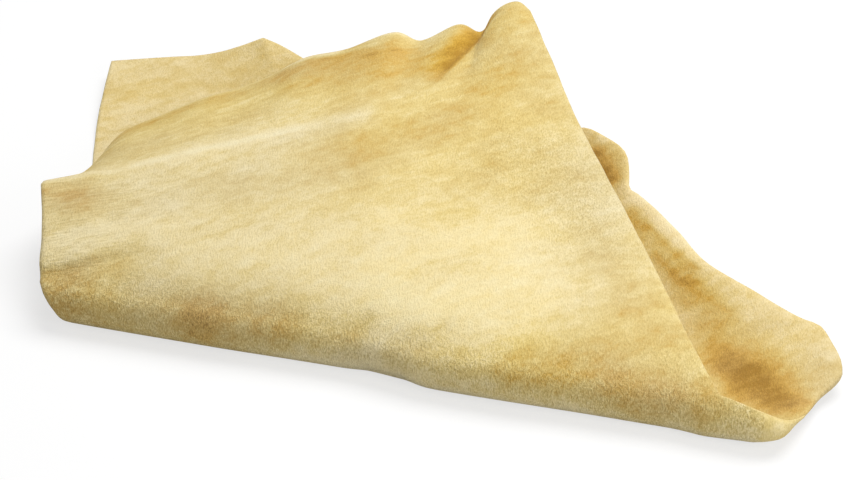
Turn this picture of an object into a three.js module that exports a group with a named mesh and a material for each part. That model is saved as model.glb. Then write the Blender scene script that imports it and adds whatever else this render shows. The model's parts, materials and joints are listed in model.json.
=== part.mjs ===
// A leather cleaning cloth that lies loosely folded in two on a table.
// The one sheet is divided into panels at its creases, and each panel bends along its crease.
// Millimetres, Z up: X runs along the front fold, Y goes back from it, and the table is Z = 0.
import * as THREE from "three";

// Driving dimensions: the folded cloth over all, and its sheet
const clothLength = 346; // along the front fold
const clothDepth = 212; // from the front fold to the back
const sheetThickness = 1;
const edgeTaper = 1; // width over which the sheet thins out to each edge
const creaseGap = 0.4; // between two panels, across the crease that they share

// The outline below is drawn for this length and depth, and stretches with the cloth
const drawnLength = 346;
const drawnDepth = 212;

// Front fold: a half roll, cut slantwise at both ends, whose foremost line waves a little
const foldRadius = 9.5; // to the middle of the sheet
const flapRise = 15; // slope in degrees at which the flap leaves the roll
const foldLeft = -141; // ends of the roll's foremost line
const foldRight = 138;
const foldTopLeft = -147; // ends of the line where the flap leaves the roll
const foldTopRight = 113;
const foldFootLeft = -139; // ends of the line where the roll meets the table
const foldFootRight = 134;
const foldWave = 3; // how far back the wave reaches
const foldWaveLength = 142;
const foldWaveFront = 23; // where along the fold the wave comes foremost

// Flap: rises from the roll to a straight ridge
const ridgeLeft = [-163, 52, 32];
const ridgeRight = [23, 156, 49];
const flapCrown = 4; // how far the middle of the flap swells

// Far margin: goes from the ridge to a waved crest that ends in the raised corner, then turns down
const marginCrest = [
  [-161, 86, 4.5],
  [-164, 105, 7],
  [-160, 122, 12],
  [-147, 133, 16],
  [-130, 146, 21],
  [-98, 168, 30],
  [-75, 175, 39],
  [-56, 185, 43],
  [-43, 186, 40],
  [-30, 194, 46],
  [-18, 194, 43],
  [-13, 196, 53],
  [-6, 201, 56],
  [3, 198, 56],
];
const crestLipBack = 7; // how far the margin's edge lies behind its crest
const crestLipDrop = 8; // and below it
const crestLipStart = 0.2; // share of that lip at the left end, where the edge lies low

// Rear corner of the lower layer
const rearCreaseLeft = [-174, 120];
const rearCreaseRight = [-90, 206];
const rearEdge = [
  [-190, 184, 8],
  [-155, 196, 10],
  [-126, 210, 17],
  [-106, 212, 8],
];

// Right margin of the lower layer, from the back round the tip: it rises from a valley to a rim
const valleyBack = [17, 146];
const rimEdge = [
  [32, 162, 23],
  [54, 145, 25],
  [57, 138, 16],
  [81, 109, 14],
  [97, 90, 14],
  [117, 78, 14],
  [141, 63, 14],
  [150, 52, 13],
  [155, 40, 12],
  [154, 32, 11],
  [149, 24, 10],
  [145, 16, 10],
  [141, 9, 8],
];
const rimLipOut = 2; // how far the rim's edge lies outside its crest
const rimLipDrop = 3; // and below it

// Middle of the sheet where it lies flat, and the roll's axis
const lyingHeight = sheetThickness / 2;
const rollHeight = foldRadius + lyingHeight;

const lengthStretch = clothLength / drawnLength;
const depthStretch = clothDepth / drawnDepth;
const at = (x, y, z) => new THREE.Vector3(x * lengthStretch, y * depthStretch, z);
const onTable = ([x, y]) => at(x, y, lyingHeight);
const line = (a, b) => (t) => a.clone().lerp(b, t);
const mix = THREE.MathUtils.lerp;

// Smooth rail through a few points, walked at an even pace
function rail(points) {
  const curve = new THREE.CatmullRomCurve3(points.map((p) => at(...p)));
  return (t) => curve.getPointAt(t);
}

// Point of the front roll at an angle from its foremost line, up for a positive angle
function onRoll(x, angle) {
  const a = THREE.MathUtils.degToRad(angle);
  const phase = (2 * Math.PI * (x - foldWaveFront)) / foldWaveLength;
  const setBack = (foldWave * (1 - Math.cos(phase))) / 2;
  return at(x, setBack + foldRadius * (1 - Math.cos(a)), rollHeight + foldRadius * Math.sin(a));
}

// Places of the grid lines across a panel, as shares of a path over it:
// an edge drawn in by half the gap at each end, a line one taper inside it, and even lines between.
function gridLines(cells, path) {
  const step = 0.01;
  const startPace = path(0).distanceTo(path(step)) / step;
  const endPace = path(1).distanceTo(path(1 - step)) / step;
  const first = creaseGap / 2 / startPace;
  const last = 1 - creaseGap / 2 / endPace;
  const inner = first + edgeTaper / startPace;
  const outer = last - edgeTaper / endPace;
  const places = [first];
  for (let k = 0; k <= cells - 2; k++) places.push(mix(inner, outer, k / (cells - 2)));
  places.push(last);
  return places;
}

// Closed sheet round a middle surface point(u, v), whose two faces meet in a feather edge
function panel(name, colour, columns, rows, point) {
  const across = [];
  for (let j = 0; j <= rows; j++) across.push(gridLines(columns, (t) => point(t, j / rows)));
  const along = [];
  for (let i = 0; i <= columns; i++) along.push(gridLines(rows, (t) => point(i / columns, t)));
  const middle = (i, j) => point(across[j][i], along[i][j]);

  const positions = [];
  const upper = [];
  const lower = [];
  for (let i = 0; i <= columns; i++) {
    upper.push([]);
    lower.push([]);
    for (let j = 0; j <= rows; j++) {
      const here = middle(i, j);
      const onEdge = i === 0 || j === 0 || i === columns || j === rows;
      upper[i][j] = positions.length / 3;
      if (onEdge) {
        lower[i][j] = upper[i][j];
        positions.push(here.x, here.y, here.z);
        continue;
      }
      const sideways = middle(i + 1, j).sub(middle(i - 1, j));
      const onward = middle(i, j + 1).sub(middle(i, j - 1));
      const half = sideways.cross(onward).setLength(sheetThickness / 2);
      const above = here.clone().add(half);
      const below = here.clone().sub(half);
      lower[i][j] = upper[i][j] + 1;
      positions.push(above.x, above.y, above.z, below.x, below.y, below.z);
    }
  }

  // The diagonals point away from the middle, so that each corner's two faces stay apart
  const faces = [];
  for (let i = 0; i < columns; i++) {
    for (let j = 0; j < rows; j++) {
      const rising = i < columns / 2 === j < rows / 2;
      for (const layer of [upper, lower]) {
        const a = layer[i][j];
        const b = layer[i + 1][j];
        const c = layer[i + 1][j + 1];
        const d = layer[i][j + 1];
        const cut = rising ? [a, b, c, a, c, d] : [a, b, d, b, c, d];
        faces.push(...(layer === upper ? cut : cut.reverse()));
      }
    }
  }

  const geometry = new THREE.BufferGeometry();
  geometry.setAttribute("position", new THREE.Float32BufferAttribute(positions, 3));
  geometry.setIndex(faces);
  geometry.computeVertexNormals();
  const material = new THREE.MeshStandardMaterial({ color: colour, roughness: 0.95, metalness: 0 });
  const mesh = new THREE.Mesh(geometry, material);
  mesh.name = name;
  return mesh;
}

// Creases that two panels share
const ridge = line(at(...ridgeLeft), at(...ridgeRight));
const valley = line(onTable(valleyBack), onRoll(foldFootRight, -90));
const rearCrease = line(onTable(rearCreaseLeft), onTable(rearCreaseRight));
const farEdge = line(onTable(rearCreaseRight), onTable(valleyBack));

// Lower layer: the lower quarter of the roll, then flat on the table to the creases and the far edge
const rollShare = 0.25; // of the rows
const baseFar = (u) => (u < 0.5 ? rearCrease(2 * u) : farEdge(2 * u - 1));
function basePoint(u, v) {
  const t = Math.min(v / rollShare, 1);
  const left = mix(foldLeft, foldFootLeft, t);
  const right = mix(foldRight, foldFootRight, t);
  const rolled = onRoll(mix(left, right, u), -90 * t);
  return v <= rollShare ? rolled : rolled.lerp(baseFar(u), (v - rollShare) / (1 - rollShare));
}

// Flap: the upper part of the roll, then a gentle swell up to the ridge
function flapPoint(u, v) {
  const t = Math.min(v / rollShare, 1);
  const left = mix(foldLeft, foldTopLeft, t);
  const right = mix(foldRight, foldTopRight, t * t);
  const rolled = onRoll(mix(left, right, u), (90 - flapRise) * t);
  if (v <= rollShare) return rolled;
  const s = (v - rollShare) / (1 - rollShare);
  const swell = flapCrown * Math.sin(Math.PI * u) * Math.sin(Math.PI * s);
  return rolled.lerp(ridge(u), s).add(at(0, 0, swell));
}

// Margin that rises from a straight crease to a crest and turns down to its edge
function margin(crease, crest, lip) {
  return (u, v) => {
    const top = crest(u);
    const edge = top.clone().add(lip(u));
    return new THREE.CatmullRomCurve3([crease(u), top, edge]).getPoint(v);
  };
}
const crestLip = (u) =>
  at(0, crestLipBack, -crestLipDrop).multiplyScalar(mix(crestLipStart, 1, Math.min(2 * u, 1)));
const outward = at(0, 0, 1).cross(valley(1).sub(valley(0))).normalize();
const rimLip = () => outward.clone().setLength(rimLipOut).add(at(0, 0, -rimLipDrop));
const marginPoint = margin(ridge, rail(marginCrest), crestLip);
const rimPoint = margin(valley, rail(rimEdge), rimLip);
const rearRail = rail(rearEdge);
const rearPoint = (u, v) => rearCrease(u).lerp(rearRail(u), v);

const cloth = new THREE.Group();
cloth.add(panel("lower_layer", 0xd9c48c, 30, 16, basePoint));
cloth.add(panel("upper_flap", 0xe8d49c, 30, 18, flapPoint));
cloth.add(panel("far_margin", 0xddc17f, 48, 12, marginPoint));
cloth.add(panel("right_margin", 0xd6bb75, 40, 10, rimPoint));
cloth.add(panel("rear_corner", 0xe0cc95, 24, 10, rearPoint));

// The origin is under the middle of the whole cloth, on the table
const box = new THREE.Box3().setFromObject(cloth);
const centre = box.getCenter(at(0, 0, 0));
cloth.position.set(-centre.x, -centre.y, -box.min.z);

const part = new THREE.Group();
part.add(cloth);
export default part;
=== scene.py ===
# Looks of a leather cleaning cloth that lies loosely folded in two on a table.
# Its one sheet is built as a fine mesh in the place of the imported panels, then divided where it bends.
import json
import math

import bpy
import numpy as np
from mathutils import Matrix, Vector, noise


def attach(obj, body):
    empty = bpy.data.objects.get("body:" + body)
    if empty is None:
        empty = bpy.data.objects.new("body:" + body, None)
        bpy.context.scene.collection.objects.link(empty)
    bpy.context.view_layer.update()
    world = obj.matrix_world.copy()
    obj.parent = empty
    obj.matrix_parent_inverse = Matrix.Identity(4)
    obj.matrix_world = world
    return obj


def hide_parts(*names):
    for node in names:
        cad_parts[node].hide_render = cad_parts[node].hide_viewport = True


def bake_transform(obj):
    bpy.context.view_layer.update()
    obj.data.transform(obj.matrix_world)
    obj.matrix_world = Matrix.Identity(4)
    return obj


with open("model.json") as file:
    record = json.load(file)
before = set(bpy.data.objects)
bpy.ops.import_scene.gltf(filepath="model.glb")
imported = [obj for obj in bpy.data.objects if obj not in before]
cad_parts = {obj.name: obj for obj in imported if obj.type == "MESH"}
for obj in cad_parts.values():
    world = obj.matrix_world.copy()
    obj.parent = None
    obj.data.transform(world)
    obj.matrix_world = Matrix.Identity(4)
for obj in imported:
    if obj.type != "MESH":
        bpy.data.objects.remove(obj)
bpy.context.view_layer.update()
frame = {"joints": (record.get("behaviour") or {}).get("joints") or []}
hinges = {joint["name"]: joint for joint in frame["joints"]}

# Sizes of the sheet are in millimetres in the fold's own frame:
# X runs along the front fold, Y goes back from it, and Z goes up from the table.
MILLIMETRE = 0.001
THICKNESS = 1.0
EDGE_BULGE = 0.4  # how far the rounded cut edge stands out
EDGE_SHARE = 0.75  # share of the thickness that is left at the cut edge
EDGE_LEAN = 0.5  # how far the shading leans outwards there
EDGE_WANDER = 0.3  # how far the cut wanders from its line
WANDER_LENGTH = 13
WANDER_SEED = 50

# Front fold: a roll from the table (-90 degrees) over its foremost line (0) to the flap
FOLD_RADIUS = 9.5
FLAP_RISE = 25
LIP_ANGLE = 37  # above this, the roll's right end is a free lip
FOLD_ANGLES = [-90, -45, 0, LIP_ANGLE, 90 - FLAP_RISE]
FOLD_LEFT = [-132.5, -134.8, -137.8, -142.3, -144.8]  # ends of the roll at these angles
FOLD_RIGHT = [127, 128.5, 132, 133, 114.5]
# Foremost line of the roll: places along it, and how far back it lies there
FRONT_PLACES = [-140, -80, -25, 14, 80, 135]
FRONT_BACK = [0.9, 1.2, 2, -1.3, -0.3, 0.3]

# Flap and its far margin
RIDGE_LEFT = [-163, 52, 32]
RIDGE_RIGHT = [23, 156, 49]
FLAP_CROWN = 3  # how far the flap's middle is arched
FRONT_SWELL = 4  # how far the flap swells up behind the roll
SWELL_POWERS = (1, 3)  # how the swell rises from the roll and falls towards the ridge
SWELL_END_POWER = 0.5  # how it runs out at the flap's left and right edges
FLAP_BOWS = (0.8, 1.5)  # how far the flap's left and right edges bow in
BOW_POWER = 6  # how close the bows stay to these edges
RIGHT_BOW_POWER = 3  # how far the right bow is moved towards the ridge
# Crest of the far margin, from its left end to the raised corner
MARGIN_CREST = [
    [-161, 86, 4.5],
    [-164, 105, 7],
    [-160, 122, 12],
    [-147, 133, 16],
    [-130, 146, 21],
    [-117, 154.8, 22.3],
    [-104, 163.5, 26.3],
    [-92.5, 170, 32.2],
    [-74, 175, 37.1],
    [-55, 185, 42.9],
    [-44.5, 185, 40],
    [-28.5, 194, 45.7],
    [-21, 193, 44],
    [-17.8, 193.5, 44.3],
    [-16.5, 195, 47.5],
    [-14.5, 197, 51],
    [-10, 199.5, 54.6],
    [-5, 201, 56],
    [1, 197.5, 54.5],
]
CREST_LEAD = 0.09  # share by which the crest runs ahead of the ridge at most
LEAD_POWERS = (2, 1)  # how the lead rises and falls, with its peak two thirds along the ridge
CREST_LIP_BACK = 7  # how far the lip behind the crest reaches back and down
CREST_LIP_DROP = 8
CREST_LIP_START = 0.12  # share of that lip at the left end
CREST_LIP_RISE = (0.35, 0.6)  # shares of the crest between which it grows

# Lower layer: rear corner and right margin
REAR_CREASE_LEFT = [-172.7, 120]
REAR_CREASE_RIGHT = [-90, 206]
# Far edge of the rear corner, from left to right
REAR_EDGE = [
    [-190.4, 184.6, 8],
    [-148.6, 198, 10.4],
    [-135.3, 204.8, 13.3],
    [-127.5, 208, 16.2],
    [-125.4, 208.8, 17],
    [-123, 209.2, 16.3],
    [-115.4, 210.2, 13],
    [-107.9, 211.8, 8],
]
REAR_BOW = 1.2  # how far the corner's left edge bows out
REAR_BOW_POWER = 3  # how close the bow stays to that edge
VALLEY_BACK = [17, 146]
# Rim of the right margin, from the roll's end to the valley's far end
RIM_EDGE = [
    [133.5, 3, 15.7],
    [136.8, 2.9, 14.6],
    [139.7, 4.1, 12],
    [141.9, 8.7, 9],
    [143.4, 15.6, 7],
    [145.3, 21.9, 6],
    [148, 31, 5.5],
    [152.8, 38.3, 7.5],
    [154.6, 42.5, 9],
    [153.5, 48.1, 11],
    [149.6, 54.6, 12.5],
    [144, 62.8, 13.5],
    [137.3, 64.4, 14],
    [120.3, 74.4, 14],
    [97, 90, 14],
    [81.5, 109.4, 14.2],
    [63, 127.8, 15.2],
    [58.7, 130.4, 15.8],
    [57, 137, 17.3],
    [55.8, 143, 19.3],
    [53.6, 148.6, 21.3],
    [50, 151.9, 22.5],
    [41.8, 156, 23.6],
    [34, 160.4, 23.7],
    [27, 161, 19.5],
    [21.5, 156, 11],
    [18, 149.5, 3],
]
RIM_LIP_OUT = 1  # how far the lip outside the rim reaches out and down
RIM_LIP_DROP = 2
RIM_LIP_START = 0.2  # share of the rim over which that lip sets in
RIM_LIP_END = (0.58, 0.76)  # shares between which it ends
RIM_LIP_LEAST = 0.1  # share of the lip that is left everywhere
WALL_REACH = 0.06  # share of the valley over which the roll's end turns into the rim

# Creases are eased over these distances
RIDGE_EASE = (0.7, 3, 16)  # at its left end, middle and right end
VALLEY_EASE = 9
REAR_EASE = 8
NOTCH = ([-17, 195, 46], [-15, 203, 38])  # in the crest beside the raised corner
NOTCH_EASE = 2.5
TIP = ([134, 3, 14], [143, 13, 8])  # where the roll's end runs into the rim
TIP_EASE = 4
EASE_ROUNDS = 60
EASE_PULL = 0.5  # share of the way towards its neighbours that a point moves in a round

# Soft folds in the sheet: start, end, width and height (below zero for a dent)
SOFT_FOLDS = [
    ([-148, 17, 22], [-108, 36, 28], 6, 0.6),
    ([38, 22, 24], [62, 40, 28], 4, 0.7),
    ([-14, 1, 3], [-2, 0, 4], 6, -1.8),
    ([112, 1, 8], [126, 1, 8], 8, 1.6),
    ([-24, 4, 16], [-17, 12, 21], 3, -0.9),
    ([6, 4, 18], [12, 12, 22], 3, -0.8),
]
# Drops of the sheet to the left of a line: start, end, depth, width, how far they take to set in, and
# depth of tone, which is partly the leather's own brown and partly painted shade on the dropped side
DROPS = [
    ([-100, 33, 28], [-168, 3, 19], 2.2, 16, 6, 0.2),
    ([-25.9, 135.5, 46], [-9.2, 203, 47], 2, 10, 5, 0.5),
]
DROP_START = 0.35  # share of the line over which a drop sets in
DROP_LAST = 0.55  # share of the line from which it fades
TONE_LAST = 0.65  # share of the line from which its tone fades
TONE_ONSET = 0.7  # share of its onset over which its tone sets in
# Waves of the whole sheet: length and height
WAVES = [(70, 1.2), (28, 0.5), (11, 0.16)]
WAVE_HEIGHTS = (2, 9)  # heights above the table between which the waves set in
WAVE_SEED_STEP = 10

# Numbers of mesh rows and columns
COLUMNS = 160
WALL_ROWS = 16  # of the roll up to its free lip, and across the right margin
SHOULDER_ROWS = 6  # of the roll above that
FLAP_ROWS = 64
RISE_ROWS = 30  # of the far margin before its crest
TURN_ROWS = 8  # of the far margin behind its crest
BASE_ROWS = 84  # of the lower layer, and along the right margin
BASE_CROWDING = 1.25  # power that crowds these rows towards the front fold
RIM_LIP_ROWS = 4  # of the right margin outside its rim
REAR_ROWS = 24
SEAM_SHARE = 0.84  # share of the flap's rows at which the piece of its far margin begins
RAIL_STEPS = 30  # between two points of a smooth curve
WELD_DECIMALS = 6

# Directions of the leather's marks, in degrees from the front fold
STREAK_TURN = 38
WRINKLE_TURN = 24
NAP_TURN = 0
# Marks of the leather: sizes along their direction, across it and upwards, the direction, and detail
BLOTCH = ((45, 22, 22), STREAK_TURN, 3)
STREAK = ((15, 4.5, 4.5), STREAK_TURN, 3)
FLECK = ((5, 3.5, 3.5), STREAK_TURN, 2)
MOTTLE = ((34, 20, 20), STREAK_TURN, 2)
NAP = ((0.55, 1.3, 1), NAP_TURN, 3)
GRAIN = ((0.4, 0.4, 0.4), NAP_TURN, 2)
WRINKLE = ((15, 1, 1), WRINKLE_TURN, 2)
NOISE_MIDDLE = 0.5  # what the noise of these marks varies about
# How strongly the marks change the tone, the height, the greyness and the brightness
BLOTCH_TONE = 0.5
STREAK_TONE = 0.36
FLECK_TONE = 0.38
FIBRE_AND_SHADE_TONE = -0.4  # raised fibres are paler and the nap's hollows browner: partly the fibres' own colour, partly painted shade
GRAIN_HEIGHT = 0.5  # on top of the nap's own
MOTTLE_DRAB = 0.15
DRAB_VALUE = -0.45
# Brighter raised fibres and darker hollows in the nap: partly the fibres' own colour, partly painted
# shade
FIBRE_AND_SHADE_VALUE = 0.3
# Finish of the leather
ROUGHNESS = 0.72
NAP_ROUGHNESS = 0.3
SHEEN_WEIGHT = 0.12
SHEEN_ROUGHNESS = 0.5
SHEEN_TINT = (1, 0.95, 0.85, 1)
SPECULAR = 0.15
BUMP_STRENGTH = 0.6
BUMP_DISTANCE = 0.0009  # in metres
# Tones from pale to brown, on the leather's face and on its underside
FACE_TONES = [
    (0.0, (0.93, 0.81, 0.49)),
    (0.24, (0.885, 0.735, 0.385)),
    (0.4, (0.805, 0.64, 0.27)),
    (0.56, (0.72, 0.535, 0.19)),
    (0.74, (0.66, 0.42, 0.10)),
    (1.0, (0.46, 0.26, 0.05)),
]
UNDER_TONES = [
    (0.0, (0.91, 0.77, 0.46)),
    (0.24, (0.85, 0.69, 0.36)),
    (0.4, (0.77, 0.595, 0.25)),
    (0.56, (0.7, 0.505, 0.17)),
    (0.74, (0.62, 0.38, 0.09)),
    (1.0, (0.40, 0.22, 0.04)),
]
# Stains in the leather, and painted shade and painted highlights where light falls: start, end, width
# and depth of tone (below zero where it is paler)
BASE_STAIN = 0.27
STAINS_AND_PAINTED_LIGHT = [
    # Far margin and ridge
    # Painted shade, with ochre of the leather's own: the band that turns away behind the ridge
    ([-155, 76, 26], [-60, 150, 42], 22, 0.19),
    ([-150, 92, 20], [-112, 125, 28], 12, 0.1),
    # Painted shade along the far margin's edge, where it turns down
    ([-160, 118, 11], [-70, 172, 39], 9, 0.32),
    ([-90, 148, 36], [-48, 170, 44], 15, 0.22),
    ([-109, 142, 31], [-88, 133, 36], 12, -0.06),
    ([-50, 165, 45], [-28, 160, 46], 14, 0.14),
    # Partly a stain, partly painted shade: the hollow beside the raised corner
    ([-25, 172, 46], [-21, 190, 45], 7, 0.2),
    # Painted highlights: pale lines along the crest's lip
    ([-98, 166, 30], [-79, 170, 38.5], 3.5, -0.3),
    ([-79, 170, 38.5], [-62, 172, 43.5], 4, -0.27),
    ([-76, 175, 37.5], [-53, 185, 43], 5, -0.16),
    ([-42, 140, 45], [-18, 152, 47], 9, 0.13),
    ([-82, 138, 38], [-68, 142, 42], 10, 0.09),
    ([-160, 100, 10], [-150, 125, 14], 10, 0.1),
    ([-3, 188, 53], [5, 160, 49], 25, 0.27),
    # Flap
    ([-40, 108, 44], [-8, 116, 46], 26, 0.26),
    ([-85, 62, 34], [-42, 72, 37], 13, 0.16),
    ([-66, 88, 40], [-48, 94, 41], 13, 0.13),
    ([-76, 97, 40], [-52, 113, 42], 8, -0.07),
    ([-150, 30, 25], [-70, 55, 33], 30, 0.07),
    ([-60, 60, 33], [40, 50, 30], 35, -0.08),
    ([-36, 24, 25], [30, 18, 23], 11, -0.13),
    ([-5, 72, 36], [45, 75, 36], 14, 0.12),
    ([-20, 75, 39], [25, 85, 38], 22, 0.08),
    ([28, 135, 46], [46, 96, 40], 16, 0.1),
    ([8, 165, 50], [28, 138, 47], 12, 0.05),
    ([50, 22, 24], [64, 18, 22], 12, 0.08),
    # Painted shade in the two small creases at the front
    ([-24, 4, 16], [-17, 12, 21], 4, 0.12),
    ([6, 4, 18], [12, 12, 22], 4, 0.1),
    ([66, 60, 31], [95, 30, 23], 22, 0.17),
    ([60, 50, 28], [85, 25, 23], 18, 0.12),
    ([-160, 46, 30], [-145, 46, 30], 9, 0.28),
    # Painted highlight: a pale line along the upper side of the crease at the left end
    ([-152, 22, 24], [-112, 38, 29], 6, -0.08),
    # Partly ochre of the leather's own, partly painted shade where the roll's front turns down
    ([-146, 4, 15], [-124, 3, 14], 12, 0.1),
    ([-140, 2, 11], [-80, 3, 13], 14, 0.2),
    ([-80, 4, 16], [-52, 5, 17], 10, 0.33),
    ([-42, 5, 16], [-22, 5, 17], 9, 0.18),
    ([0, 3, 15], [34, 3, 16], 8, 0.16),
    # Painted light: paler along the roll's bottom, where the floor throws light up
    ([-40, 3, 3], [125, 3, 3], 7, -0.24),
    # More of the roll's front: partly ochre of its own, partly painted shade
    ([46, 6, 19], [72, 7, 19], 11, 0.28),
    ([45, 2, 12], [70, 2, 12], 8, 0.1),
    ([84, 2, 9], [106, 2, 8], 9, 0.2),
    ([87, 4, 15], [110, 6, 17], 9, 0.25),
    ([112, 3, 13], [130, 2, 12], 8, 0.15),
    # Right margin and rear corner
    ([64, 116, 11], [110, 65, 8], 7, 0.17),
    ([62, 116, 10], [92, 78, 7], 8, 0.19),
    ([70, 112, 12.5], [94, 86, 13], 1.8, 0.28),
    ([76, 97, 9.5], [92, 80, 9], 1.8, 0.22),
    ([92, 83, 11], [110, 65, 9], 2, 0.18),
    # Painted highlight along the rim's crest
    ([60, 130, 15], [94, 93, 14], 6, -0.16),
    ([57, 129, 13], [67, 114, 11], 5, 0.16),
    # Painted highlight, further along the rim
    ([105, 80, 14], [130, 66, 14], 10, -0.06),
    ([149, 46, 10], [144, 56, 12], 13, 0.11),
    # Painted shade inside the raised tab beside the flap
    ([42, 147, 19], [48, 138, 16], 6.5, 0.7),
    # Painted shadow in the valley beside the flap's lower edge
    ([95, 70, 4], [115, 43, 2], 9, 0.17),
    # Painted shade in the cup at the roll's right end, down to the tip
    ([115, 45, 3], [132, 30, 5], 14, 0.26),
    ([126, 38, 6], [138, 25, 7], 8, 0.37),
    ([120, 28, 3], [132, 22, 4], 7, 0.17),
    ([112, 42, 2], [119, 34, 2], 8, 0.11),
    ([134, 12, 10], [143, 22, 8], 8, 0.14),
    ([-130, 195, 10], [-105, 205, 10], 20, 0.12),
    ([-180, 165, 6], [-160, 175, 7], 12, 0.12),
]
# Greyer, darker patches, partly the leather's own greyness and partly painted shade on the flap's low
# front and on the shadowed nap beside its right edge: start, end, width and loss of saturation (below
# zero where the colour is stronger)
DRABS_AND_SHADE = [
    # Painted shade: the shadowed nap beside the flap's right edge
    ([48, 100, 40], [66, 46, 29], 18, 0.11),
    ([-140, 45, 30], [-75, 68, 36], 34, 0.12),
    ([-76, 97, 40], [-52, 113, 42], 8, 0.08),
    ([-22, 3, 14], [2, 6, 18], 9, 0.08),
    ([-158, 98, 12], [-105, 140, 28], 17, -0.05),
    ([-10, 26, 26], [40, 12, 21], 17, -0.05),
    # Painted shade on the low front of the flap
    ([-100, 12, 21], [-58, 10, 20], 14, 0.09),
    ([77, 7, 19], [96, 4, 16], 9, 0.07),
    ([66, 117, 12], [100, 74, 9], 7, -0.05),
    ([150, 36, 8], [149, 46, 10], 10, 0.1),
    ([-30, 160, 46], [-20, 190, 45], 9, -0.07),
]
RIDGE_HIGHLIGHT = 0.28  # how pale the painted highlight along the ridge is
RIDGE_HIGHLIGHT_WIDTH = 2.5
RIDGE_HIGHLIGHT_FADE = (0.3, 0.8)  # shares of the ridge between which it fades
WRINKLE_START = -95  # the fine wrinkles begin here and deepen towards the left end
WRINKLE_FULL = -135
WRINKLE_BACK = (50, 70)  # distances from the front fold between which they end
WRINKLE_DEPTH = 0.8
SHAG_PLAIN = 0.76  # depth of the nap
SHAG_DEEP = 1.9  # its depth low at the front of the flap
SHAG_HEIGHT = (14, 26)  # heights between which the deep nap ends
SHAG_BACK = (80, 130)  # distances from the front fold between which it ends
SHAG_PATCH = ([28, 105, 41], [55, 84, 36])  # rougher stretch beside the flap's right edge
SHAG_PATCH_WIDTH = 24
SHAG_PATCH_DEPTH = 0.65

# Floor
FLOOR_SIZE = 6  # in metres
FLOOR_ROUGHNESS = 0.9
FLOOR_BOUNCE = 0.62  # share of light that the floor sends back to the cloth
FLOOR_GLOW = 0.67  # share of plain white that the camera sees in the floor

# Lights: name, place, target and size in metres, and power
LIGHTS = [
    ("key", (0.2, 0.4, 1.15), (0, 0, 0), 0.9, 14),
    ("fill", (0.5, -0.4, 0.35), (0.13, -0.09, 0), 0.3, 1.1),
]
WORLD_STRENGTH = 0.28

# Camera of the photograph
CAMERA_AZIMUTH = 15.2
CAMERA_ELEVATION = 35
CAMERA_LENS = 85
SENSOR_WIDTH = 36
CAMERA_PLACE = [161.4, -556.1, 473.7]  # in the fold's frame

LYING = THICKNESS / 2  # height of the middle of the sheet where it lies on the table
# Origin of the fold's frame: on the table under the hinge of the front fold
fold_place = Vector(hinges["front_fold"]["pos_m"]).to_2d().to_3d()


def to_row(points):
    """Points of the fold's frame, in metres in the shared frame."""
    return np.asarray(points, float) * MILLIMETRE + np.array(fold_place)


def line(start, end, shares):
    """Points at shares of the way from start to end."""
    start = np.array(start, float)
    return start + (np.array(end, float) - start) * np.asarray(shares)[:, None]


def smoothstep(low, high, values):
    """Smooth step from 0 at low to 1 at high."""
    t = np.clip((values - low) / (high - low), 0, 1)
    return t * t * (3 - 2 * t)


def hump(shares, rise, fall):
    """Rise and fall between 0 and 1 by two powers, with a peak of 1."""
    top = rise / (rise + fall)
    return shares ** rise * (1 - shares) ** fall / (top ** rise * (1 - top) ** fall)


def span(a, b, c, d, shares):
    """Centripetal Catmull-Rom span from b to c, for arrays of points."""
    a, b, c, d = (np.asarray(p, float)[..., None, :] for p in (a, b, c, d))
    k1 = np.sqrt(np.linalg.norm(b - a, axis=-1, keepdims=True))
    k2 = k1 + np.sqrt(np.linalg.norm(c - b, axis=-1, keepdims=True))
    k3 = k2 + np.sqrt(np.linalg.norm(d - c, axis=-1, keepdims=True))
    t = k1 + (k2 - k1) * np.asarray(shares)[:, None]
    ab = ((k1 - t) * a + t * b) / k1
    bc = ((k2 - t) * b + (t - k1) * c) / (k2 - k1)
    cd = ((k3 - t) * c + (t - k2) * d) / (k3 - k2)
    abc = ((k2 - t) * ab + t * bc) / k2
    bcd = ((k3 - t) * bc + (t - k1) * cd) / (k3 - k1)
    return ((k2 - t) * abc + (t - k1) * bcd) / (k2 - k1)


def rail(points, shares):
    """Points at an even pace along a smooth curve through a few points."""
    knots = np.array(points, float)
    knots = np.vstack([2 * knots[0] - knots[1], knots, 2 * knots[-1] - knots[-2]])
    steps = np.linspace(0, 1, RAIL_STEPS)
    dense = np.vstack([span(*knots[k:k + 4], steps) for k in range(len(knots) - 3)])
    walked = np.cumsum(np.linalg.norm(np.diff(dense, axis=0), axis=1))
    walked = np.concatenate([[0], walked]) / walked[-1]
    return np.stack([np.interp(shares, walked, dense[:, k]) for k in range(3)], -1)


def margin(crease, crest, edge, rise_rows, turn_rows):
    """Rows of points from a crease over a crest to an edge, without the crease itself."""
    rise = span(2 * crease - crest, crease, crest, edge, np.linspace(0, 1, rise_rows + 1)[1:])
    turn = span(crease, crest, edge, 2 * edge - crest, np.linspace(0, 1, turn_rows + 1)[1:])
    return np.concatenate([rise, turn], axis=1)


def on_roll(x, angle):
    """Point of the front roll at an angle from its foremost line."""
    k = np.clip(np.searchsorted(FRONT_PLACES, x) - 1, 0, len(FRONT_PLACES) - 2)
    place, back = np.array(FRONT_PLACES), np.array(FRONT_BACK)
    back = back[k] + (back[k + 1] - back[k]) * smoothstep(place[k], place[k + 1], x)
    a = np.radians(angle)
    height = LYING + FOLD_RADIUS + FOLD_RADIUS * np.sin(a)
    return np.stack([x, back + FOLD_RADIUS * (1 - np.cos(a)), height + 0 * x], -1)


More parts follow.
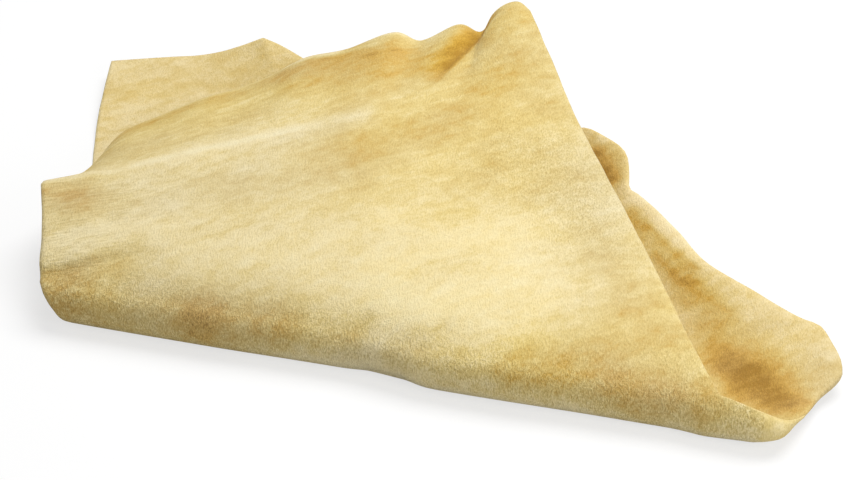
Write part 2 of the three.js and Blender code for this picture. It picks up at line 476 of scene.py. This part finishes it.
def grid_faces(count, rows, columns, turned):
    """Quads of a grid whose points are numbered from count; turned quads face the other way."""
    ids = count + np.arange(rows * columns).reshape(rows, columns)
    a, b, c, d = ids[:-1, :-1], ids[:-1, 1:], ids[1:, 1:], ids[1:, :-1]
    order = (a, d, c, b) if turned else (a, b, c, d)
    return np.stack([k.ravel() for k in order], -1)


def roll_grid(u):
    """Front roll, from the table up to the flap."""
    wall = np.linspace(-90, LIP_ANGLE, WALL_ROWS + 1)
    shoulder = np.linspace(LIP_ANGLE, 90 - FLAP_RISE, SHOULDER_ROWS + 1)[1:]
    angles = np.concatenate([wall, shoulder])
    left = np.interp(angles, FOLD_ANGLES, FOLD_LEFT)[:, None]
    right = np.interp(angles, FOLD_ANGLES, FOLD_RIGHT)[:, None]
    return on_roll(left + (right - left) * u, angles[:, None])


def flap_grid(u, front, ridge):
    """Flap from the roll to its ridge, without the roll's own row."""
    s = np.linspace(0, 1, FLAP_ROWS + 1)[1:, None]
    flap = front + (ridge - front) * s[..., None]
    swell = FRONT_SWELL * hump(s, *SWELL_POWERS)
    flap[..., 2] += np.sin(np.pi * u) ** SWELL_END_POWER * swell
    flap[..., 2] += FLAP_CROWN * np.sin(np.pi * u) * np.sin(np.pi * s)
    flap[..., 0] += FLAP_BOWS[0] * (1 - u) ** BOW_POWER * np.sin(np.pi * s)
    flap[..., 0] -= FLAP_BOWS[1] * u ** BOW_POWER * np.sin(np.pi * s ** RIGHT_BOW_POWER)
    return flap


def far_grid(u, ridge):
    """Far margin of the flap, without the ridge itself."""
    crest = rail(MARGIN_CREST, u + CREST_LEAD * hump(u, *LEAD_POWERS))
    lip = CREST_LIP_START + (1 - CREST_LIP_START) * smoothstep(*CREST_LIP_RISE, u)
    edge = crest + lip[:, None] * np.array([0, CREST_LIP_BACK, -CREST_LIP_DROP])
    return margin(ridge, crest, edge, RISE_ROWS, TURN_ROWS).swapaxes(0, 1)


def right_grid(s, valley, roll_end):
    """Right margin from its valley over the rim; at the front it turns into the end of the roll."""
    outward = np.cross([0, 0, 1], valley[0] - valley[-1])
    outward /= np.linalg.norm(outward)
    rim = rail(RIM_EDGE, s)
    lip = np.minimum(s / RIM_LIP_START, 1 - smoothstep(*RIM_LIP_END, s))
    lip = np.clip(lip, RIM_LIP_LEAST, 1)[:, None]
    rim_edge = rim + lip * (outward * RIM_LIP_OUT - np.array([0, 0, RIM_LIP_DROP]))
    dish = margin(valley, rim, rim_edge, WALL_ROWS - RIM_LIP_ROWS, RIM_LIP_ROWS)
    dish = np.concatenate([valley[:, None], dish], axis=1)
    fade = np.exp(-(s / WALL_REACH) ** 2)[:, None, None]
    side = dish + fade * (roll_end - dish[0])
    side[0] = roll_end
    return side


def rear_grid(u, crease):
    """Rear corner from its crease to its far edge."""
    w = np.linspace(0, 1, REAR_ROWS + 1)[:, None]
    rear = crease + (rail(REAR_EDGE, u) - crease) * w[..., None]
    rear[..., 0] -= REAR_BOW * np.sin(np.pi * w) * (1 - u) ** REAR_BOW_POWER
    return rear


def make_grids():
    """The sheet's grids: roll and flap with its far margin, and the lower layer with its two margins."""
    u = np.linspace(0, 1, COLUMNS + 1)
    roll = roll_grid(u)
    ridge = line(RIDGE_LEFT, RIDGE_RIGHT, u)
    upper = np.concatenate([roll, flap_grid(u, roll[-1], ridge), far_grid(u, ridge)])

    half = COLUMNS // 2
    u_left = u[:half + 1] * 2
    u_right = u[half:] * 2 - 1
    rear_crease = line(REAR_CREASE_LEFT + [LYING], REAR_CREASE_RIGHT + [LYING], u_left)
    far_edge = line(REAR_CREASE_RIGHT + [LYING], VALLEY_BACK + [LYING], u_right)
    s = np.linspace(0, 1, BASE_ROWS + 1) ** BASE_CROWDING
    base = roll[0] + (np.vstack([rear_crease, far_edge[1:]]) - roll[0]) * s[:, None, None]
    right = right_grid(s, base[:, -1], roll[:WALL_ROWS + 1, -1])
    rear = rear_grid(u_left, base[-1, :half + 1])
    return {"upper": upper, "lower": base, "right": right, "rear": rear}


def weld(grids):
    """One sheet of points and quads from the grids, with the name of each quad's piece."""
    points, quads, names = [], [], []
    count = 0
    seam_row = WALL_ROWS + SHOULDER_ROWS + round(FLAP_ROWS * SEAM_SHARE)
    for name, grid in grids.items():
        rows, columns = grid.shape[:2]
        faces = grid_faces(count, rows, columns, name != "upper")
        if name == "upper":
            rows_of = np.repeat(np.arange(rows - 1), columns - 1)
            names.append(np.where(rows_of < seam_row, "flap", "far_margin"))
        else:
            names.append(np.full(len(faces), name))
        points.append(grid.reshape(-1, 3))
        quads.append(faces)
        count += rows * columns
    points, first = np.unique(np.vstack(points).round(WELD_DECIMALS), axis=0, return_inverse=True)
    return points, first.ravel()[np.vstack(quads)], np.concatenate(names)


def half_edges(quads):
    """Directed edges of all quads."""
    return np.stack([quads, np.roll(quads, -1, axis=1)], -1).reshape(-1, 2)


def open_edges(quads):
    """Directed edges of quads that no other of these quads shares."""
    edges = half_edges(quads)
    undirected = np.sort(edges, axis=1)
    _, inverse, counts = np.unique(undirected, axis=0, return_inverse=True, return_counts=True)
    return edges[counts[inverse.ravel()] == 1]


def normals_of(points, quads):
    """Normals of the sheet at its points."""
    a, b, c, d = (points[quads[:, k]] for k in range(4))
    face = np.cross(c - a, d - b)
    total = np.zeros_like(points)
    for k in range(4):
        for axis in range(3):
            total[:, axis] += np.bincount(quads[:, k], face[:, axis], len(points))
    return total / np.linalg.norm(total, axis=1, keepdims=True)


def outward_of(points, normals, edges):
    """At the points of the cut edges, the direction out of the sheet."""
    total = np.zeros_like(points)
    for a, b in edges:
        out = np.cross(points[b] - points[a], normals[a] + normals[b])
        out /= np.linalg.norm(out)
        total[a] += out
        total[b] += out
    length = np.linalg.norm(total, axis=1, keepdims=True)
    return total / np.where(length > 0, length, 1)


def from_segment(points, start, end):
    """Distance from a segment, and the share along it."""
    start, end = np.array(start, float), np.array(end, float)
    along = end - start
    share = np.clip((points - start) @ along / (along @ along), 0, 1)
    return np.linalg.norm(points - start - share[:, None] * along, axis=1), share


def sum_of_marks(points, marks):
    """Sum of soft marks along segments: start, end, width and depth."""
    total = np.zeros(len(points))
    for start, end, width, depth in marks:
        distance, _ = from_segment(points, start, end)
        total += depth * np.exp(-(distance / width) ** 2)
    return total


def beside(points, start, end, width, onset, last):
    """Weight to the left of a line: it fades away from it, and along it from the share last on."""
    distance, share = from_segment(points, start, end)
    ahead = np.subtract(end, start)
    side = ahead[0] * (points[:, 1] - start[1]) - ahead[1] * (points[:, 0] - start[0])
    step = smoothstep(0, onset, distance) * (side > 0)
    ends = smoothstep(0, DROP_START, share) * (1 - smoothstep(last, 1, share))
    return ends * step * np.exp(-(distance / width) ** 2)


def crease_weight(points):
    """1 on the creases, and less beside them."""
    distance, share = from_segment(points, RIDGE_LEFT, RIDGE_RIGHT)
    weight = np.exp(-(distance / np.interp(share, [0, 0.5, 1], RIDGE_EASE)) ** 2)
    valley_front = on_roll(np.array(FOLD_RIGHT[0]), -90)
    for start, end, reach in (
        (VALLEY_BACK + [LYING], valley_front, VALLEY_EASE),
        (REAR_CREASE_LEFT + [LYING], REAR_CREASE_RIGHT + [LYING], REAR_EASE),
        (*NOTCH, NOTCH_EASE),
        (*TIP, TIP_EASE),
    ):
        distance, _ = from_segment(points, start, end)
        weight = np.maximum(weight, np.exp(-(distance / reach) ** 2))
    return weight


def ease(points, quads, cut, on_cut):
    """Rounds the sheet along its creases; cut edges are eased along themselves alone."""
    edges = np.unique(np.sort(half_edges(quads), axis=1), axis=0)
    ends_on_cut = on_cut[edges].sum(axis=1)
    inner = edges[ends_on_cut == 0]
    bridges = edges[ends_on_cut == 1]
    to_cut = np.where(on_cut[bridges[:, :1]], bridges[:, ::-1], bridges)
    pulls = np.vstack([inner, inner[:, ::-1], to_cut, cut, cut[:, ::-1]])
    count = np.bincount(pulls[:, 0], minlength=len(points))[:, None]
    weight = crease_weight(points)[:, None]
    for _ in range(EASE_ROUNDS):
        sums = [np.bincount(pulls[:, 0], points[pulls[:, 1], k], len(points)) for k in range(3)]
        mean = np.stack(sums, -1) / np.maximum(count, 1)
        points = points + EASE_PULL * weight * (mean - points)
    points[:, 2] = np.maximum(points[:, 2], LYING)
    return points


def noise_at(points, length, seed):
    """Noise at the points, with waves of a length."""
    offset = Vector((seed, 0, 0))
    return np.array([noise.noise(Vector(p / length) + offset) for p in points])


def add_relief(points, quads, cut):
    """Soft folds, waves of the sheet, and the wander of its cut edges."""
    normals = normals_of(points, quads)
    height = sum_of_marks(points, SOFT_FOLDS)
    for start, end, deep, width, onset, _ in DROPS:
        height -= deep * beside(points, start, end, width, onset, DROP_LAST)
    lifted = smoothstep(*WAVE_HEIGHTS, points[:, 2])
    for seed, (length, tall) in enumerate(WAVES):
        height += tall * lifted * noise_at(points, length, WAVE_SEED_STEP * seed)
    wander = EDGE_WANDER * noise_at(points, WANDER_LENGTH, WANDER_SEED)
    points = points + normals * height[:, None]
    points += outward_of(points, normals, cut) * wander[:, None]
    points[:, 2] = np.maximum(points[:, 2], LYING)
    return points


def add_node(tree, kind, **settings):
    """New node of a material with some settings."""
    node = tree.nodes.new(kind)
    for name, value in settings.items():
        setattr(node, name, value)
    return node


def add_noise(tree, place, size, turn, detail):
    """Noise over the sheet: size is how large its marks are along axes turned about the vertical."""
    mapping = add_node(tree, "ShaderNodeMapping", vector_type="TEXTURE")
    mapping.inputs["Rotation"].default_value = (0, 0, math.radians(turn))
    mapping.inputs["Scale"].default_value = size
    tree.links.new(place, mapping.inputs["Vector"])
    texture = add_node(tree, "ShaderNodeTexNoise")
    texture.inputs["Scale"].default_value = 1
    texture.inputs["Detail"].default_value = detail
    tree.links.new(mapping.outputs["Vector"], texture.inputs["Vector"])
    return texture.outputs["Fac"]


def combine(tree, operation, first, second):
    """Sum, product or the like of two outputs."""
    node = add_node(tree, "ShaderNodeMath", operation=operation)
    tree.links.new(first, node.inputs[0])
    tree.links.new(second, node.inputs[1])
    return node.outputs[0]


def scaled(tree, source, gain, offset=0, base=None):
    """gain * source + offset, added to the base where there is one"""
    node = add_node(tree, "ShaderNodeMath", operation="MULTIPLY_ADD")
    tree.links.new(source, node.inputs[0])
    node.inputs[1].default_value = gain
    node.inputs[2].default_value = offset
    return node.outputs[0] if base is None else combine(tree, "ADD", base, node.outputs[0])


def varied(tree, mark, gain, base=None):
    """gain * (mark - its middle), added to the base where there is one"""
    return scaled(tree, mark, gain, -gain * NOISE_MIDDLE, base)


def read_attribute(tree, name, output="Fac"):
    """What the mesh stores under a name."""
    return add_node(tree, "ShaderNodeAttribute", attribute_name=name).outputs[output]


def tone_ramp(tree, tone, tones):
    """Colour of a tone; the node comes with a pale end at 0 and a dark end at 1."""
    node = add_node(tree, "ShaderNodeValToRGB")
    elements = node.color_ramp.elements
    for position, _ in tones[1:-1]:
        elements.new(position)
    for element, (_, colour) in zip(elements, tones):
        element.color = (*colour, 1)
    tree.links.new(tone, node.inputs["Fac"])
    return node.outputs["Color"]


def leather(name, tones):
    """Suede with blotches, streaks, a fibrous nap, stains and painted shade and highlights, in tones
    from pale to brown.
    """
    material = bpy.data.materials.new(name)
    material.use_nodes = True
    tree = material.node_tree
    shader = tree.nodes["Principled BSDF"]
    place = read_attribute(tree, "cloth_place", "Vector")
    nap = add_noise(tree, place, *NAP)

    fibre = varied(tree, add_noise(tree, place, *GRAIN), GRAIN_HEIGHT, varied(tree, nap, 1))
    lines = varied(tree, add_noise(tree, place, *WRINKLE), 1)
    height = combine(
        tree,
        "ADD",
        combine(tree, "MULTIPLY", fibre, read_attribute(tree, "shag")),
        combine(tree, "MULTIPLY", lines, read_attribute(tree, "wrinkled")),
    )
    tone = read_attribute(tree, "stain_and_painted_light")
    for mark, gain in ((BLOTCH, BLOTCH_TONE), (STREAK, STREAK_TONE), (FLECK, FLECK_TONE)):
        tone = varied(tree, add_noise(tree, place, *mark), gain, tone)
    # The nap's height also sets the colour: raised fibres paler and brighter, hollows browner and
    # darker, partly painted shade
    tone = scaled(tree, height, FIBRE_AND_SHADE_TONE, base=tone)

    # Greyer patches, partly painted shade, which also darken the colour
    drab_and_shade = varied(tree, add_noise(tree, place, *MOTTLE), MOTTLE_DRAB, read_attribute(tree, "drab_and_shade"))
    value = scaled(tree, drab_and_shade, DRAB_VALUE, base=scaled(tree, height, FIBRE_AND_SHADE_VALUE, 1))
    shade = add_node(tree, "ShaderNodeHueSaturation")
    tree.links.new(scaled(tree, drab_and_shade, -1, 1), shade.inputs["Saturation"])
    tree.links.new(value, shade.inputs["Value"])
    tree.links.new(tone_ramp(tree, tone, tones), shade.inputs["Color"])
    tree.links.new(shade.outputs["Color"], shader.inputs["Base Color"])

    tree.links.new(scaled(tree, nap, NAP_ROUGHNESS, ROUGHNESS), shader.inputs["Roughness"])
    shader.inputs["Sheen Weight"].default_value = SHEEN_WEIGHT
    shader.inputs["Sheen Roughness"].default_value = SHEEN_ROUGHNESS
    shader.inputs["Sheen Tint"].default_value = SHEEN_TINT
    shader.inputs["Specular IOR Level"].default_value = SPECULAR
    bump = add_node(tree, "ShaderNodeBump")
    bump.inputs["Strength"].default_value = BUMP_STRENGTH
    bump.inputs["Distance"].default_value = BUMP_DISTANCE
    tree.links.new(height, bump.inputs["Height"])
    tree.links.new(bump.outputs["Normal"], shader.inputs["Normal"])
    return material


def tone_and_painted_light_at(points):
    """Depth of the leather's tone before its marks: stains, painted shade and painted highlights."""
    distance, share = from_segment(points, RIDGE_LEFT, RIDGE_RIGHT)
    # Painted highlight: a pale line along the ridge that fades towards its right end
    pale = np.exp(-(distance / RIDGE_HIGHLIGHT_WIDTH) ** 2) * (1 - smoothstep(*RIDGE_HIGHLIGHT_FADE, share))
    total = BASE_STAIN - RIDGE_HIGHLIGHT * pale + sum_of_marks(points, STAINS_AND_PAINTED_LIGHT)
    # The drops darken their lower side: partly stain, partly painted shade
    for start, end, _, width, onset, depth in DROPS:
        total += depth * beside(points, start, end, width, onset * TONE_ONSET, TONE_LAST)
    return total


def set_attribute(mesh, name, values):
    """Stores numbers or vectors at the points of a mesh."""
    kind, field = ("FLOAT_VECTOR", "vector") if values.ndim == 2 else ("FLOAT", "value")
    mesh.attributes.new(name, kind, "POINT").data.foreach_set(field, values.ravel())


def paint(mesh, place, deep_nap):
    """Stores where the points lie on the cloth, what its leather is like there, and the shade and
    highlights painted on it.
    """
    x, y, z = place.T
    wrinkled = WRINKLE_DEPTH * (1 - smoothstep(WRINKLE_FULL, WRINKLE_START, x))
    wrinkled *= 1 - smoothstep(*WRINKLE_BACK, y)
    distance, _ = from_segment(place, *SHAG_PATCH)
    shag = SHAG_PLAIN + SHAG_PATCH_DEPTH * np.exp(-(distance / SHAG_PATCH_WIDTH) ** 2)
    if deep_nap:
        low = (1 - smoothstep(*SHAG_HEIGHT, z)) * (1 - smoothstep(*SHAG_BACK, y))
        shag += (SHAG_DEEP - SHAG_PLAIN) * low
    set_attribute(mesh, "cloth_place", place)
    set_attribute(mesh, "stain_and_painted_light", tone_and_painted_light_at(place))
    set_attribute(mesh, "drab_and_shade", sum_of_marks(place, DRABS_AND_SHADE))
    set_attribute(mesh, "wrinkled", wrinkled)
    set_attribute(mesh, "shag", shag)


def side_faces(quads, count, rim_of):
    """Faces between both sides of a sheet: two at a rounded cut edge, one at a plain seam."""
    sides = []
    for a, b in open_edges(quads):
        if a in rim_of and b in rim_of:
            sides.append((b, a, rim_of[a], rim_of[b]))
            sides.append((rim_of[b], rim_of[a], a + count, b + count))
            continue
        near = [rim_of[a]] if a in rim_of else []
        distant = [rim_of[b]] if b in rim_of else []
        sides.append((b, a, *near, a + count, b + count, *distant))
    return sides


def make_piece(name, points, normals, out, quads, on_cut, materials):
    """Closed mesh of a stretch of the sheet: both faces, rounded cut edges, plain seams."""
    used, local = np.unique(quads, return_inverse=True)
    local = local.reshape(quads.shape)
    count = len(used)
    middle, normals, out, on_cut = points[used], normals[used], out[used], on_cut[used]
    rims = np.flatnonzero(on_cut)
    rim_of = {point: 2 * count + k for k, point in enumerate(rims)}
    half = LYING * normals * np.where(on_cut, EDGE_SHARE, 1)[:, None]
    vertices = np.vstack([middle + half, middle - half, middle[rims] + EDGE_BULGE * out[rims]])
    lean = np.where(on_cut, EDGE_LEAN, 0)[:, None] * out
    directions = np.vstack([lean + normals, lean - normals, out[rims]])
    directions /= np.linalg.norm(directions, axis=1, keepdims=True)

    sides = side_faces(local, count, rim_of)
    faces = [*local, *(local[:, ::-1] + count), *sides]
    mesh = bpy.data.meshes.new(name)
    mesh.from_pydata(to_row(vertices).tolist(), [], [[int(point) for point in face] for face in faces])
    for material in materials:
        mesh.materials.append(material)
    mesh.polygons.foreach_set("material_index", [0] * len(local) + [1] * len(local) + [0] * len(sides))
    mesh.polygons.foreach_set("use_smooth", [True] * len(faces))
    paint(mesh, np.vstack([middle, middle, middle[rims]]), name == "cloth_flap")
    mesh.normals_split_custom_set_from_vertices(directions.tolist())
    mesh.update()
    piece = bpy.data.objects.new(name, mesh)
    bpy.context.scene.collection.objects.link(piece)
    return piece


def make_floor():
    """Plain floor that looks whiter to the camera than it lights the cloth."""
    bpy.ops.mesh.primitive_plane_add(size=FLOOR_SIZE)
    floor = bpy.context.object
    floor.name = "floor"
    material = bpy.data.materials.new("floor")
    material.use_nodes = True
    tree = material.node_tree
    shader = tree.nodes["Principled BSDF"]
    shader.inputs["Roughness"].default_value = FLOOR_ROUGHNESS
    shader.inputs["Specular IOR Level"].default_value = 0
    path = add_node(tree, "ShaderNodeLightPath")
    seen = path.outputs["Is Camera Ray"]
    for ray in ("Is Glossy Ray", "Is Transmission Ray"):
        seen = combine(tree, "MAXIMUM", seen, path.outputs[ray])
    colour = scaled(tree, seen, 1 - FLOOR_BOUNCE, FLOOR_BOUNCE)
    tree.links.new(colour, shader.inputs["Base Color"])
    glow = add_node(tree, "ShaderNodeEmission")
    mix = add_node(tree, "ShaderNodeMixShader")
    tree.links.new(scaled(tree, seen, FLOOR_GLOW), mix.inputs["Fac"])
    tree.links.new(shader.outputs["BSDF"], mix.inputs[1])
    tree.links.new(glow.outputs["Emission"], mix.inputs[2])
    tree.links.new(mix.outputs["Shader"], tree.nodes["Material Output"].inputs["Surface"])
    floor.data.materials.append(material)


def add_area_light(name, place, target, size, energy):
    """Square light at a place, turned to its target."""
    lamp = bpy.data.lights.new(name, "AREA")
    lamp.size = size
    lamp.energy = energy
    holder = bpy.data.objects.new(name, lamp)
    holder.location = place
    holder.rotation_euler = (Vector(target) - Vector(place)).to_track_quat("-Z", "Y").to_euler()
    bpy.context.scene.collection.objects.link(holder)


# The sheet and its pieces
points, quads, names = weld(make_grids())
cut = open_edges(quads)
on_cut = np.zeros(len(points), bool)
on_cut[cut.ravel()] = True
points = ease(points, quads, cut, on_cut)
points = add_relief(points, quads, cut)
normals = normals_of(points, quads)
out = outward_of(points, normals, cut)
face = leather("leather_face", FACE_TONES)
under = leather("leather_under", UNDER_TONES)
pieces = {}
for name in ("flap", "far_margin", "lower", "right", "rear"):
    own = quads[names == name]
    pieces[name] = make_piece("cloth_" + name, points, normals, out, own, on_cut, (face, under))

# What the pieces ride on and stand for
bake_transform(pieces["flap"])
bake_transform(pieces["far_margin"])
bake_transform(pieces["right"])
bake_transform(pieces["rear"])
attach(pieces["lower"], "lower")

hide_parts("upper_flap")
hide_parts("far_margin")
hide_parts("lower_layer")
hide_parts("right_margin")
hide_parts("rear_corner")

# Floor, lights and camera
make_floor()
for light in LIGHTS:
    add_area_light(*light)
world = bpy.data.worlds.new("studio")
bpy.context.scene.world = world
world.use_nodes = True
background = world.node_tree.nodes["Background"]
background.inputs["Color"].default_value = (1, 1, 1, 1)
background.inputs["Strength"].default_value = WORLD_STRENGTH

camera = bpy.data.objects.new("camera", bpy.data.cameras.new("camera"))
camera.data.lens = CAMERA_LENS
camera.data.sensor_width = SENSOR_WIDTH
camera.data.sensor_fit = "HORIZONTAL"
camera.location = to_row(CAMERA_PLACE)
camera.rotation_euler = (math.radians(90 - CAMERA_ELEVATION), 0, math.radians(CAMERA_AZIMUTH))
bpy.context.scene.collection.objects.link(camera)
bpy.context.scene.camera = camera
bpy.context.scene.view_settings.view_transform = "Standard"
